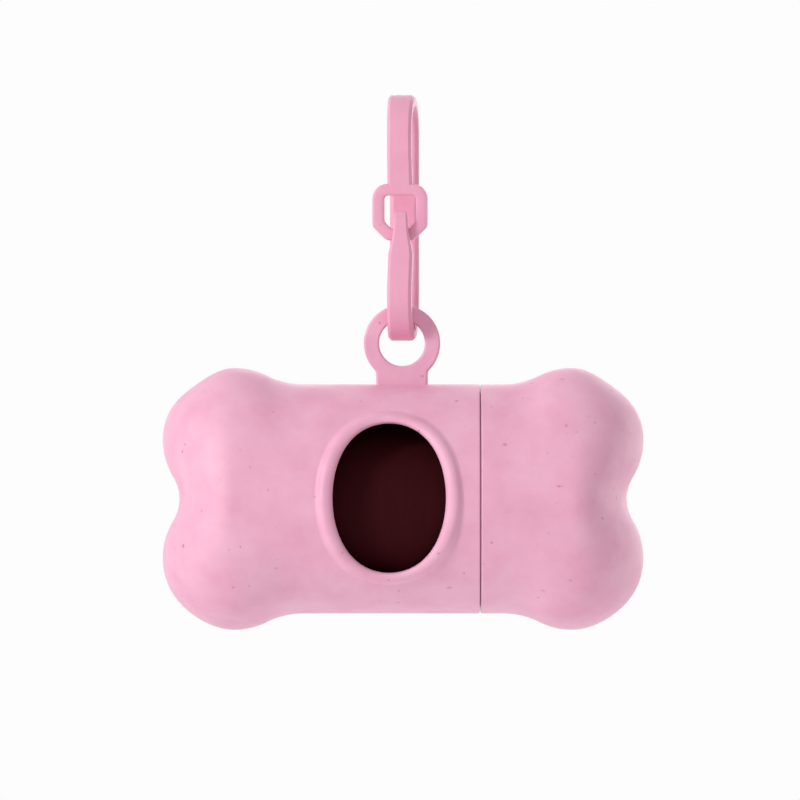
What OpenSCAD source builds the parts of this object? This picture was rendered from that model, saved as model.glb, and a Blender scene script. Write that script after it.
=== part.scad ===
// Bone-shaped dog waste bag dispenser, hanging from its moulded clip.
// X runs along the bone towards the pull-off cap, Z is up, and the dispensing hole faces -Y.
// The origin is the centre of the clip's upper bend, where a lead or a ring carries the dispenser.

/* [Bag roll] */
// Diameter of a full bag roll
roll_d = 30; // [24:0.5:38]
// Length of the bag roll
roll_len = 58; // [46:0.5:72]
// Inside diameter of the paper core
core_bore_d = 13; // [9:0.5:16]
// Wall of the paper core
core_wall = 0.7; // [0.5:0.1:1.2]

/* [Chamber] */
// Play between the roll and the bore, on the radius
roll_play = 2.15; // [1.5:0.05:4]
// Play beyond each end of the roll, to the bottom of the chamber
roll_end_play = 7.4; // [6:0.1:12]
// Gap between the resting roll and the floor of the bore
roll_rest_gap = 0.3; // [0.2:0.05:0.5]
// Wall behind the shaped ends
end_wall = 2.2; // [1.6:0.1:2.5]

/* [Bone] */
// Rise of the lobes over the round middle
lobe_rise = 2.83; // [1:0.01:6]
// Radius of a lobe seen from the front
lobe_r = 12.4; // [10.5:0.1:15]
// How far the outer shoulders of the upper lobes are flattened
flat_upper = 0.8; // [0:0.05:1.2]
// How far the outer shoulders of the lower lobes are flattened
flat_lower = 0.25; // [0:0.05:1.2]
// Radius of the hollow between the two lobes of an end
valley_r = 7; // [4:0.1:12]
// Radius of the hollow between a lobe and the round middle
flank_r = 14; // [6:0.5:20]
// Offset of the bone's middle from the hanging line
bone_mid_x = 0.2; // [-1:0.1:1]

/* [Cap joint] */
// Distance from the seam to where the cap starts to rise to its lobes
seam_back = 4; // [2:0.1:8]
// Wall of the cap's mouth
mouth_wall = 1.22; // [1:0.02:1.6]
// Wall of the spigot
spigot_wall = 1.3; // [1:0.05:1.8]
// Length of the spigot
spigot_len = 8; // [5:0.5:12]
// Clearance between spigot and cap, on the radius
spigot_gap = 0.1; // [0.05:0.01:0.2]
// Gap left at the seam, and at the spigot's end
seam_gap = 0.15; // [0.1:0.05:0.3]
// Chamfer on both edges of the seam, and on the spigot's end
seam_chamfer = 0.35; // [0.2:0.05:0.6]
// Width of the key rib that lines the lobes up
key_w = 2.4; // [1.5:0.1:4]
// Clearance on each side of the key rib
key_gap = 0.2; // [0.1:0.05:0.4]

/* [Dispensing hole] */
// Width of the hole
oval_w = 19.4; // [14:0.1:24]
// Height of the hole
oval_h = 25.6; // [18:0.1:29]
// Height of the hole's middle over the bone's middle
oval_rise = 0.35; // [-1:0.05:1]
// Plain wall between the rim and the seam
seam_margin = 3.2; // [1:0.1:6]
// Width of the raised rim, measured along the round middle
rim_w = 2.7; // [1.5:0.1:3.5]
// Rise of the rim over the round middle
rim_rise = 0.9; // [0.4:0.1:1.5]

/* [Lug] */
// Diameter of the eye
eye_d = 7.9; // [7:0.1:10]
// Width of the ring round the eye
eye_rim = 2.65; // [2:0.05:4]
// Thickness of the lug, front to back
lug_t = 4; // [3:0.1:5]
// Width of the lug's stem
lug_stem_w = 8.9; // [6:0.1:12]
// Height of the eye's centre over the bone
lug_rise = 7.1; // [6.7:0.1:10]
// Gap between the eye and the hanging strap
hang_gap = 0.1; // [0.05:0.05:0.2]

/* [Clip] */
// Overall height of the clip
clip_h = 42.4; // [38:0.1:60]
// Overall depth of the clip, front to back
clip_depth = 14; // [12.5:0.1:18]
// Thickness of the strap
strap_t = 2.4; // [1.8:0.1:2.8]
// Width of the clip at its front face
clip_front_w = 4.15; // [3.9:0.05:4.6]
// Width of the clip at its back face
clip_back_w = 5.1; // [4.6:0.05:5.6]
// Width of the strap's inner face between its chamfers
strap_inner_w = 3.7; // [3:0.1:3.8]
// Turn of the hanging clip about the vertical
clip_twist = 4.45; // [0:0.05:10]

/* [Gate] */
// Length of the fixed strap between the upper bend and the gate
gate_root = 1; // [0.6:0.1:3]
// Gap where the gate leaves the fixed strap
gate_gap = 0.1; // [0.05:0.05:0.2]
// Height from the clip's top to the top of the ring
ring_top = 15.4; // [14:0.1:22]
// Width of the ring
ring_w = 9.5; // [8:0.1:11]
// Height of the ring
ring_h = 9.75; // [9:0.05:12]
// Width of the ring's bars
ring_bar = 2; // [1.5:0.1:2.5]
// Cut across the ring's outer corners
ring_corner = 2.4; // [1:0.1:2.8]
// Thickness of the gate, front to back
gate_t = 2.2; // [1.8:0.1:2.4]
// Overlap of the nose in front of the ring
nose_lap = 4.95; // [3:0.05:6]
// Thickness of the nose where it crosses the ring
nose_t = 1.55; // [1.2:0.05:1.8]
// Width of the nose at its tip
nose_tip_w = 2.3; // [1.5:0.1:3]
// Gap between the nose and the ring behind it
nose_gap = 0.2; // [0.1:0.05:0.4]

/* [Hidden] */

shell_pink = "#f0b4ca";
clip_pink = "#eeaec5";
film_dark = "#34161c";
core_brown = "#b59a7a";
$fn = 96;

// Bone: the roll sets the bore, the bore sets the outside.
roll_r = roll_d / 2;
bore_r = roll_r + roll_play;
spigot_r = bore_r + spigot_wall;
mouth_r = spigot_r + spigot_gap;
bone_r = mouth_r + mouth_wall;
lobe_top = bone_r + lobe_rise;
lobe_z = lobe_top - lobe_r;
valley_x = roll_len / 2 + roll_end_play + end_wall;
lobe_x = valley_x + valley_r - sqrt(pow(lobe_r + valley_r, 2) - pow(lobe_z, 2));
flank_start = lobe_x - sqrt(pow(lobe_r + flank_r, 2) - pow(bone_r + flank_r - lobe_z, 2));
seam_x = flank_start - seam_back;
spigot_end = seam_x + spigot_len;
oval_x = seam_x - seam_margin - rim_w - oval_w / 2;
roll_drop = bore_r - roll_r - roll_rest_gap;
core_r = core_bore_d / 2 + core_wall;
rim_h = rim_w * sqrt(1 - pow(oval_h / 2 / bone_r, 2));

// Rings of the bone's surface, and steps along its outline. Rings close up in end_rings steps over an end.
ring_sides = 68;
end_rings = 9;
flank_steps = 5;
shoulder_steps = 3;
lobe_steps = 40;
valley_steps = 12;

// Clip: a strap bent round two half circles, hooked through the lug's eye.
bend_r = clip_depth / 2;
inner_bend_r = bend_r - strap_t;
clip_top = bend_r;
lower_bend_z = clip_depth - clip_h;
ring_top_z = clip_top - ring_top;
ring_bottom_z = ring_top_z - ring_h;
ring_back_y = nose_t + nose_gap + gate_t - bend_r;
ring_front_y = ring_back_y - gate_t;
nose_tip_z = ring_bottom_z + nose_lap;
nose_root_z = ring_bottom_z - 0.5;

// The eye hangs on the strap's chamfered edges.
eye_r = eye_d / 2;
lug_r = eye_r + eye_rim;
strap_sag = inner_bend_r - sqrt(pow(inner_bend_r, 2) - pow(lug_t / 2, 2));
strap_reach = strap_inner_w / 2 + lug_t / 2 * sin(clip_twist);
eye_drop = sqrt(pow(eye_r - hang_gap, 2) - pow(strap_reach, 2)) - strap_sag;
eye_z = lower_bend_z - inner_bend_r - eye_drop;
bone_z = eye_z - lug_rise - bone_r;

// Points along an arc, as [x, z].
function arc(cx, cz, r, from, to, steps) =
    [for (i = [0:steps]) let (a = from + (to - from) * i / steps) [cx + r * cos(a), cz + r * sin(a)]];

// Drops the first point of a list, where two arcs share it.
function rest(points) = [for (i = [1:len(points) - 1]) points[i]];

// Outline of the +X end from the round middle up to the top of a lobe.
// inset moves it inwards by a wall.
function shoulder_line(inset) =
    let (r = lobe_r - inset, g = flank_r + inset, mid = bone_r - inset)
    let (flank_x = lobe_x - sqrt(pow(r + g, 2) - pow(mid + g - lobe_z, 2)))
    let (turn = atan2(lobe_z - mid - g, lobe_x - flank_x))
    concat(arc(flank_x, mid + g, g, -90, turn, flank_steps),
           rest(arc(lobe_x, lobe_z, r, turn + 180, 90, shoulder_steps)));

// Arc of a lobe from its top to the angle turn, with its outer shoulder eased inwards.
function lobe_line(r, turn, flat) =
    [for (i = [0:lobe_steps]) let (a = 90 + (turn - 90) * i / lobe_steps)
        let (eased = a > 0 ? r - flat * pow(sin(180 * pow(a / 90, 1.4)), 2) : r)
        [lobe_x + eased * cos(a), lobe_z + eased * sin(a)]];

// The same outline from the top of the lobe to the bottom of the valley.
function end_line(inset, flat) =
    let (r = lobe_r - inset, f = valley_r + inset)
    let (hollow_x = lobe_x + sqrt(pow(r + f, 2) - pow(lobe_z, 2)))
    let (turn = atan2(-lobe_z, hollow_x - lobe_x))
    concat(lobe_line(r, turn, flat), rest(arc(hollow_x, 0, f, turn + 180, 180, valley_steps)));

// One end of the bone as a closed solid from x = start, with a chamfered rim there.
// Sections square to X are ellipses as far as the lobes' tops. Beyond them each level section is half an
// ellipse that reaches out to the outline, so that the hollow between the lobes fades towards the front.
module bone_end(start, inset = 0, chamfer = 0) {
    depth = bone_r - inset;
    height = lobe_top - inset;
    crown = ring_sides / 4;
    shoulder = shoulder_line(inset);
    stations = concat([[start, depth - chamfer, depth - chamfer], [start + chamfer + 0.01, depth, depth]],
                      [for (p = shoulder) [p[0], depth, p[1]]]);
    last = len(stations) - 1;
    upper = [for (p = end_line(inset, flat_upper)) [p[1], p[0] - lobe_x]];
    lower = [for (p = end_line(inset, flat_lower)) [p[1], p[0] - lobe_x]];
    end_base = (last + 1) * ring_sides;
    edge_base = end_base + (end_rings - 1) * (ring_sides - 2);
    ring_points = [for (s = stations, m = [0:ring_sides - 1]) let (a = 360 * m / ring_sides)
        [s[0], -s[1] * cos(a), s[2] * sin(a)]];
    function level(m) = height * sin(360 * m / ring_sides);
    function reach(m) = lookup(abs(level(m)), level(m) > 0 ? upper : lower);
    // Rings lie closer together where the end turns away from the front and the back.
    function turn(k) = atan2(sin(90 * k / end_rings), 1.8 * cos(90 * k / end_rings));
    end_points = [for (k = [1:end_rings - 1], m = [0:ring_sides - 1]) if (m % (2 * crown) != crown)
        [lobe_x + reach(m) * sin(turn(k)), -depth * cos(360 * m / ring_sides) * cos(turn(k)), level(m)]];
    edge_points = [for (m = [1 - crown:crown - 1]) [lobe_x + reach(m), 0, level(m)]];
    function ring_at(k, m) = k * ring_sides + m % ring_sides;
    function edge_at(m) =
        edge_base + crown - 1 + (m < crown ? m : m > 3 * crown ? m - 4 * crown : 2 * crown - m);
    function end_at(k, m) =
        k == 0 || m % (2 * crown) == crown ? ring_at(last, m)
        : k == end_rings ? edge_at(m % ring_sides)
        : end_base + (k - 1) * (ring_sides - 2)
            + m % ring_sides - floor((m % ring_sides + crown) / (2 * crown));
    start_face = [[for (m = [ring_sides - 1:-1:0]) ring_at(0, m)]];
    ring_faces = [for (k = [0:last - 1], m = [0:ring_sides - 1])
        [ring_at(k, m + 1), ring_at(k + 1, m + 1), ring_at(k + 1, m), ring_at(k, m)]];
    end_faces = [for (k = [0:end_rings - 1], m = [0:ring_sides - 1])
        each [if ((m + 1) % (2 * crown) != crown) [end_at(k, m + 1), end_at(k + 1, m + 1), end_at(k, m)],
              if (m % (2 * crown) != crown) [end_at(k + 1, m + 1), end_at(k + 1, m), end_at(k, m)]]];
    polyhedron(concat(ring_points, end_points, edge_points), concat(start_face, ring_faces, end_faces));
}

// A round bar along X from x = from to x = to.
module bar_x(r, from, to) {
    translate([from, 0, 0]) rotate([0, 90, 0]) cylinder(r = r, h = to - from);
}

// An upright oval prism through the front wall, around the dispensing hole.
module oval_prism(w, h, front, back) {
    outline = [for (i = [0:71]) [w / 2 * cos(i * 5), h / 2 * sin(i * 5)]];
    translate([oval_x, back, oval_rise]) rotate([90, 0, 0]) linear_extrude(back - front) polygon(outline);
}

// The space for the roll, open at x = mouth, in the +X end.
module chamber(mouth) {
    intersection() {
        bone_end(mouth, end_wall);
        bar_x(bore_r, mouth - 1, valley_x + lobe_r);
    }
}

// Flat lug with its eye, standing on the round middle.
module lug() {
    sunk = 1.6;
    difference() {
        union() {
            rotate([90, 0, 0]) cylinder(r = lug_r, h = lug_t, center = true);
            translate([-lug_stem_w / 2, -lug_t / 2, -lug_rise - sunk])
                cube([lug_stem_w, lug_t, lug_rise + sunk]);
        }
        rotate([90, 0, 0]) cylinder(r = eye_r, h = lug_t + 2, center = true);
    }
}

// Plug that goes into the cap, solid here, with its chamfered end.
module spigot() {
    rotate([0, 90, 0]) rotate_extrude()
        polygon([[0, seam_x - 2], [spigot_r, seam_x - 2], [spigot_r, spigot_end - seam_chamfer],
                 [spigot_r - seam_chamfer, spigot_end], [0, spigot_end]]);
}

module body_shell() {
    slot_w = key_w + 2 * key_gap;
    color(shell_pink)
    translate([bone_mid_x, 0, bone_z])
    difference() {
        union() {
            mirror([1, 0, 0]) bone_end(-seam_x, 0, seam_chamfer);
            spigot();
            intersection() {
                oval_prism(oval_w + 2 * rim_w, oval_h + 2 * rim_h, -bone_r - 3, -bore_r / 2);
                bar_x(bone_r + rim_rise, -bone_r * 1.5, seam_x - 0.5);
            }
            translate([-bone_mid_x, 0, bone_r + lug_rise]) lug();
        }
        mirror([1, 0, 0]) chamber(-spigot_end - 1);
        oval_prism(oval_w, oval_h, -bone_r - 4, -2);
        translate([seam_x + 0.5, -slot_w / 2, bore_r - 1]) cube([spigot_len, slot_w, 4]);
    }
}

module end_cap() {
    sunk = 0.4;
    mouth = seam_x + seam_gap;
    seat = spigot_end + seam_gap;
    key_bottom = bore_r + 0.2;
    color(shell_pink)
    translate([bone_mid_x, 0, bone_z])
    union() {
        difference() {
            bone_end(mouth, 0, seam_chamfer);
            chamber(mouth - 1);
            bar_x(mouth_r, mouth - 1, seat);
        }
        translate([mouth + 1.2, -key_w / 2, key_bottom])
            cube([spigot_len - 1.5, key_w, mouth_r + sunk - key_bottom]);
    }
}

// Plan of the clip: it widens from the front face to the back face.
module clip_plan() {
    polygon([[-clip_front_w / 2, -bend_r], [clip_front_w / 2, -bend_r],
             [clip_back_w / 2, bend_r], [-clip_back_w / 2, bend_r]]);
}

// Section of the strap with its outside at +X of this drawing, and both inner edges chamfered.
module strap_section() {
    edge = (clip_back_w - strap_inner_w) / 2;
    polygon([[inner_bend_r, -strap_inner_w / 2], [inner_bend_r + edge, -clip_back_w / 2],
             [bend_r, -clip_back_w / 2], [bend_r, clip_back_w / 2],
             [inner_bend_r + edge, clip_back_w / 2], [inner_bend_r, strap_inner_w / 2]]);
}

// Half a turn of strap round the X axis, over the top.
module strap_bend() {
    rotate([0, -90, 0]) rotate([0, 0, -90]) rotate_extrude(angle = 180) strap_section();
}

// Straight strap from z = bottom to z = top, at the back or, with side = -1, at the front.
module strap_leg(side, bottom, top) {
    translate([0, 0, bottom]) linear_extrude(top - bottom) rotate(side * 90) strap_section();
}

// Solid between the clip's two flanks, with this outline in Y and Z.
module between_flanks(points) {
    intersection() {
        rotate([90, 0, 90]) linear_extrude(clip_back_w + 1, center = true) polygon(points);
        translate([0, 0, -clip_h]) linear_extrude(clip_h * 2) clip_plan();
    }
}

// The lower front arm narrows to a nose that lies in front of the gate's ring.
module hook_arm() {
    tip_t = nose_t - 0.4;
    round = 0.5;
    intersection() {
        strap_leg(-1, lower_bend_z, nose_tip_z);
        between_flanks([[-bend_r, lower_bend_z], [-inner_bend_r, lower_bend_z],
                        [-inner_bend_r, nose_root_z - 1.5], [nose_t - bend_r, nose_root_z],
                        [tip_t - bend_r, nose_tip_z - round], [tip_t - round - bend_r, nose_tip_z],
                        [round - bend_r, nose_tip_z], [-bend_r, nose_tip_z - round]]);
        rotate([90, 0, 0]) linear_extrude(clip_depth + 2, center = true)
            polygon([[-clip_back_w / 2, lower_bend_z], [clip_back_w / 2, lower_bend_z],
                     [clip_front_w / 2 + 0.1, ring_bottom_z],
                     [nose_tip_w / 2, nose_tip_z], [-nose_tip_w / 2, nose_tip_z],
                     [-clip_front_w / 2 - 0.1, ring_bottom_z]]);
    }
}

module clip_frame() {
    color(clip_pink)
    rotate([0, 0, -clip_twist])
    intersection() {
        union() {
            strap_bend();
            strap_leg(1, lower_bend_z, 0);
            strap_leg(-1, -gate_root, 0);
            translate([0, 0, lower_bend_z]) mirror([0, 0, 1]) strap_bend();
            hook_arm();
        }
        translate([0, 0, -clip_h]) linear_extrude(clip_h * 2) clip_plan();
    }
}

// Outline of the ring with its corners cut, as [x, z] about its centre.
function ring_outline(w, h, cut) =
    [[cut - w / 2, -h / 2], [w / 2 - cut, -h / 2], [w / 2, cut - h / 2], [w / 2, h / 2 - cut],
     [w / 2 - cut, h / 2], [cut - w / 2, h / 2], [-w / 2, h / 2 - cut], [-w / 2, cut - h / 2]];

module clip_gate() {
    top = -gate_root - gate_gap;
    ring_z = ring_top_z - ring_h / 2;
    inner_cut = ring_corner - ring_bar * (2 - sqrt(2));
    color(clip_pink)
    rotate([0, 0, -clip_twist])
    union() {
        between_flanks([[-bend_r, top], [-bend_r, top - 1.5], [ring_front_y, ring_top_z + 0.5],
                        [ring_front_y, ring_top_z - ring_bar], [ring_back_y, ring_top_z - ring_bar],
                        [ring_back_y, ring_top_z + 0.5], [-inner_bend_r, top - 1.5],
                        [-inner_bend_r, top]]);
        translate([0, ring_back_y, ring_z]) rotate([90, 0, 0]) linear_extrude(gate_t)
            difference() {
                polygon(ring_outline(ring_w, ring_h, ring_corner));
                polygon(ring_outline(ring_w - 2 * ring_bar, ring_h - 2 * ring_bar, inner_cut));
            }
    }
}

module bag_roll() {
    color(film_dark)
    translate([bone_mid_x, 0, bone_z - roll_drop])
    difference() {
        bar_x(roll_r, -roll_len / 2, roll_len / 2);
        bar_x(core_r, -roll_len / 2 - 1, roll_len / 2 + 1);
    }
}

module roll_core() {
    color(core_brown)
    translate([bone_mid_x, 0, bone_z - roll_drop])
    difference() {
        bar_x(core_r, -roll_len / 2, roll_len / 2);
        bar_x(core_bore_d / 2, -roll_len / 2 - 1, roll_len / 2 + 1);
    }
}

body_shell();
end_cap();
clip_frame();
clip_gate();
bag_roll();
roll_core();
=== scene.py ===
# %% [markdown]
# # A bone-shaped dispenser for dog waste bags
# The real object is three mouldings of pink plastic and a roll of bags. The imported CAD model gives the
# frame that everything here is built around: its bodies, its joints and the room that each part takes.
# The first cell loads that frame and keeps its parts by name.

# %% Load the frame
import math
import random
import bmesh
import bpy
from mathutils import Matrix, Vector


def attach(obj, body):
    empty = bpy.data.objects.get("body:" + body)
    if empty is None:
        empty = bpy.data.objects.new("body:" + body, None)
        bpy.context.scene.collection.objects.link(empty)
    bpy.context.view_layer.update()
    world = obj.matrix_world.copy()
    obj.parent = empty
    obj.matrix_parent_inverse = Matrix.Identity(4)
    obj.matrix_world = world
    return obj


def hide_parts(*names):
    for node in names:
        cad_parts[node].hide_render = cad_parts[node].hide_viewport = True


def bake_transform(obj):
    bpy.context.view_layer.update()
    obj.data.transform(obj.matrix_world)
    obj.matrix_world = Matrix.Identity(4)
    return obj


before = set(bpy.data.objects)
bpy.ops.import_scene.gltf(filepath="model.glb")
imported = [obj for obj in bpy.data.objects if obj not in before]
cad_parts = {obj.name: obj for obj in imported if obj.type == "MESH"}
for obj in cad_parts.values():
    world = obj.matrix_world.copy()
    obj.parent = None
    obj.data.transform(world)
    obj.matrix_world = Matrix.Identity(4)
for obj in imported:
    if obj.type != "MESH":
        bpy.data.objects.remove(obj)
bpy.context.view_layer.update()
MM = 0.001

# %% [markdown]
# ## Sizes
# All sizes are written in millimetres, as on a drawing. The bone is modelled round its own middle and is
# moved to its place at the end, and the clip is modelled round the middle of its upper bend, which is the
# origin.

# %% Sizes of the bone
ROLL_R, ROLL_LEN, CORE_R, CORE_BORE_R = 15.0, 58.0, 7.2, 6.5
BORE_R = 17.15          # the chamber for the roll
SPIGOT_R = 18.45        # the plug that goes into the cap
MOUTH_R = 18.55         # the cap's counterbore
BONE_R = 19.77          # the round middle
LOBE_R, LOBE_X, LOBE_Z = 12.4, 29.098, 10.2         # a lobe's radius, and where its middle is
FLANK_R, VALLEY_R = 14.0, 7.0                       # the hollows beside and between the lobes
END_WALL = 2.2
SEAM_X, SEAM_GAP, SPIGOT_LEN = 13.208, 0.15, 8.0    # where the cap begins
BONE_MID = Vector((0.2, 0, -62.699)) * MM
ROLL_MID = BONE_MID - Vector((0, 0, 1.85)) * MM     # the roll lies on the floor of its chamber
print("bone", 2 * (LOBE_X + LOBE_R), "mm long,", 2 * BONE_R, "mm through the middle")

# %% [markdown]
# ## Working by hand, in code
# Blender's operators act on whatever is selected, so every step first deselects everything and then
# selects what it needs by place. These few helpers do that: they add a primitive, pick parts of a mesh in
# edit mode, run the common steps and apply a modifier.

# %% Select by place
def deselect():
    if bpy.context.mode != "OBJECT":
        bpy.ops.object.mode_set(mode="OBJECT")
    bpy.ops.object.select_all(action="DESELECT")


def activate(piece):
    deselect()
    piece.select_set(True)
    bpy.context.view_layer.objects.active = piece


def primitive(kind, name, **settings):
    """Add a primitive whose lengths are in metres, and put its place into its mesh."""
    deselect()
    getattr(bpy.ops.mesh, f"primitive_{kind}_add")(**settings)
    piece = bpy.context.active_object
    piece.name = piece.data.name = name
    bpy.ops.object.transform_apply(location=True, rotation=True, scale=True)
    return piece


def edit(piece):
    """Open a mesh in edit mode with all of it selected."""
    activate(piece)
    bpy.ops.object.mode_set(mode="EDIT")
    bpy.ops.mesh.select_mode(type="VERT")
    bpy.ops.mesh.select_all(action="SELECT")


def pick(kind, wanted):
    """Select the vertices, edges or faces that pass a test on their middle, in millimetres."""
    bpy.ops.mesh.select_mode(type=kind)
    bpy.ops.mesh.select_all(action="DESELECT")
    mesh = bmesh.from_edit_mesh(bpy.context.edit_object.data)
    mesh.normal_update()
    if kind == "VERT":
        chosen = [v for v in mesh.verts if wanted(v.co / MM, v.normal)]
    elif kind == "EDGE":
        chosen = [e for e in mesh.edges if wanted((e.verts[0].co + e.verts[1].co) / 2 / MM, e)]
    else:
        chosen = [f for f in mesh.faces if wanted(f.calc_center_median() / MM, f.normal)]
    for part in chosen:
        part.select_set(True)
    mesh.select_flush_mode()
    bmesh.update_edit_mesh(bpy.context.edit_object.data)
    return len(chosen)


print("helpers", [tool.__name__ for tool in (deselect, activate, primitive, edit, pick)])


# %% Move and shape the selection
def pull(x=0.0, y=0.0, z=0.0):
    """Extrude the selection by this many millimetres."""
    bpy.ops.mesh.extrude_region_move(TRANSFORM_OT_translate={"value": (x * MM, y * MM, z * MM)})


def shift(x=0.0, y=0.0, z=0.0):
    """Move the selection by this many millimetres."""
    bpy.ops.transform.translate(value=(x * MM, y * MM, z * MM))


def size(x=1.0, y=1.0, z=1.0, about=(0, 0, 0)):
    """Resize the selection about a point in millimetres."""
    bpy.ops.transform.resize(value=(x, y, z), center_override=Vector(about) * MM)


def turn(angle, axis, about=(0, 0, 0)):
    """Rotate the selection by radians. With no window Blender turns the other way, hence the minus."""
    bpy.ops.transform.rotate(value=-angle, orient_axis=axis, center_override=Vector(about) * MM)


def face_out():
    """Point every face of the edited mesh outwards."""
    bpy.ops.mesh.select_all(action="SELECT")
    bpy.ops.mesh.normals_make_consistent(inside=False)


def weld(distance=0.004):
    """Merge vertices nearer to each other than this many millimetres."""
    bpy.ops.mesh.select_all(action="SELECT")
    bpy.ops.mesh.remove_doubles(threshold=distance * MM)
    face_out()


print("helpers", [tool.__name__ for tool in (pull, shift, size, turn, face_out, weld)])


# %% Finish a mesh
def done(piece):
    """Leave edit mode and say what the mesh has."""
    bpy.ops.object.mode_set(mode="OBJECT")
    low = [round(min(v.co[i] for v in piece.data.vertices) / MM, 2) for i in range(3)]
    high = [round(max(v.co[i] for v in piece.data.vertices) / MM, 2) for i in range(3)]
    print(piece.name, len(piece.data.vertices), "vertices, from", low, "to", high)
    return piece


def close_loop(piece):
    """Close the selected loop with one face."""
    bpy.ops.mesh.edge_face_add()
    face_out()
    return done(piece)


def modify(piece, kind, **settings):
    """Add a modifier and apply it at once."""
    activate(piece)
    bpy.ops.object.modifier_add(type=kind)
    modifier = piece.modifiers[-1]
    for key, value in settings.items():
        setattr(modifier, key, value)
    bpy.ops.object.modifier_apply(modifier=modifier.name)


def soften(piece, width, segments, angle):
    """Bevel all edges that are sharper than this many degrees."""
    modify(piece, "BEVEL", width=width * MM, segments=segments, limit_method="ANGLE",
           angle_limit=math.radians(angle))


def combine(piece, tool, operation):
    """Cut, join or intersect a piece with a tool, which is then thrown away."""
    modify(piece, "BOOLEAN", operation=operation, object=tool, solver="MANIFOLD")
    bpy.data.objects.remove(tool)


def copy_of(piece, name):
    twin = piece.copy()
    twin.data = piece.data.copy()
    twin.name = twin.data.name = name
    bpy.context.scene.collection.objects.link(twin)
    return twin


print("helpers", [tool.__name__ for tool in (done, close_loop, modify, soften, combine, copy_of)])


# %% [markdown]
# ## The shaped ends
# Seen from the front the bone is a round bar with two lobes at each end. Seen from the side it is as deep
# as it is round. A designer lofts such a shape: rings square to the bar grow taller up to the tops of the
# lobes. There one ring is extruded and each of its rows is moved out to the outline. Further rings reach
# out more and are less deep, until the last one is the outline itself. So the hollow between the lobes
# fades towards the front, as it does in the photograph. Extrude and resize give the same even quads that
# a loft gives.

# %% The outline of an end
def arc(cx, cz, r, start, stop, steps):
    """Points along an arc in degrees, as (x, z)."""
    return [(cx + r * math.cos(math.radians(a)), cz + r * math.sin(math.radians(a)))
            for a in (start + (stop - start) * i / steps for i in range(steps + 1))]


def shoulder_line(inset, steps):
    """From the round middle up to the top of a lobe."""
    r, g, mid = LOBE_R - inset, FLANK_R + inset, BONE_R - inset
    flank_x = LOBE_X - math.sqrt((r + g) ** 2 - (mid + g - LOBE_Z) ** 2)
    bend = math.degrees(math.atan2(LOBE_Z - mid - g, LOBE_X - flank_x))
    return arc(flank_x, mid + g, g, -90, bend, steps) + arc(LOBE_X, LOBE_Z, r, bend + 180, 90, steps)[1:]


def end_line(inset, flat, steps):
    """From the top of a lobe round to the bottom of the valley, with the lobe's shoulder a little flat."""
    r, f = LOBE_R - inset, VALLEY_R + inset
    hollow_x = LOBE_X + math.sqrt((r + f) ** 2 - LOBE_Z ** 2)
    bend = math.degrees(math.atan2(-LOBE_Z, hollow_x - LOBE_X))
    lobe = []
    for i in range(3 * steps + 1):
        a = 90 + (bend - 90) * i / (3 * steps)
        eased = r - (flat * math.sin(math.pi * (a / 90) ** 1.4) ** 2 if a > 0 else 0)
        angle = math.radians(a)
        lobe.append((LOBE_X + eased * math.cos(angle), LOBE_Z + eased * math.sin(angle)))
    return lobe + arc(hollow_x, 0, f, bend + 180, 180, steps)[1:]


FLAT_UPPER, FLAT_LOWER = 0.8, 0.25
print("lobe top", shoulder_line(0, 8)[-1], "valley", end_line(0, FLAT_UPPER, 8)[-1])


# %% Loft an end
END_RINGS, CROWDING = 16, 1.8       # rings beyond the lobes' tops, and how they crowd towards the outline
FIRST_STEP, CLOSE = 1.0, 0.001


def reach_at(z, inset):
    """How far the outline of the end lies beyond the tops of the lobes at this height."""
    line = end_line(inset, FLAT_UPPER if z > 0 else FLAT_LOWER, 16)
    for (x1, z1), (x2, z2) in zip(line, line[1:]):
        if z2 - 1e-6 <= abs(z) <= z1 + 1e-6:
            return x1 + (x2 - x1) * (z1 - abs(z)) / (z1 - z2) - LOBE_X
    return 0.0


def loft_end(name, start, inset, sides, steps):
    """The +X end of the bone from x = start, open there, made ring by ring."""
    radius, height = BONE_R - inset, shoulder_line(inset, steps)[-1][1]
    piece = primitive("circle", name, vertices=sides, radius=radius * MM, fill_type="NOTHING",
                      location=(start * MM, 0, 0), rotation=(0, math.pi / 2, 0))
    shoulder = shoulder_line(inset, steps)
    rings = [(start + (shoulder[0][0] - start) * i / 4, radius) for i in (1, 2, 3)] + shoulder
    edit(piece)
    x, z = start, radius
    for next_x, next_z in rings:
        pull(x=next_x - x)
        size(z=next_z / z, about=(next_x, 0, 0))
        x, z = next_x, next_z
    turns = [math.atan2(math.sin(a), CROWDING * math.cos(a))
             for a in (math.pi / 2 * k / END_RINGS for k in range(1, END_RINGS))] + [math.pi / 2]
    pull(x=FIRST_STEP)
    for m in range(-sides // 4, sides // 4 + 1):
        level = height * math.sin(2 * math.pi * m / sides)
        pick("VERT", lambda p, n: p.x > LOBE_X + 0.9 * FIRST_STEP and abs(p.z - level) < CLOSE)
        size(x=reach_at(level, inset) * math.sin(turns[0]), about=(LOBE_X, 0, 0))
    pick("EDGE", lambda p, e: len(e.link_faces) == 1 and p.x > LOBE_X - 0.01)
    size(y=math.cos(turns[0]))
    for turned, next_turned in zip(turns, turns[1:]):
        pull()
        size(x=math.sin(next_turned) / math.sin(turned), y=math.cos(next_turned) / math.cos(turned),
             about=(LOBE_X, 0, 0))
    weld()
    return done(piece)


print("an end has", END_RINGS, "rings beyond the tops of its lobes")

# %% [markdown]
# ## Both outsides from one loft
# The body and the cap end in the same lobes, so the end is lofted once. A copy cut off at the seam is the
# cap's outside, and the mirrored loft, which runs on to the seam, is the body's. Moulded edges are never
# sharp, so the rim at the seam is rolled over in four small steps before a face closes it.

# %% Outsides
SEAM_ROUND = 0.3


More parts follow.
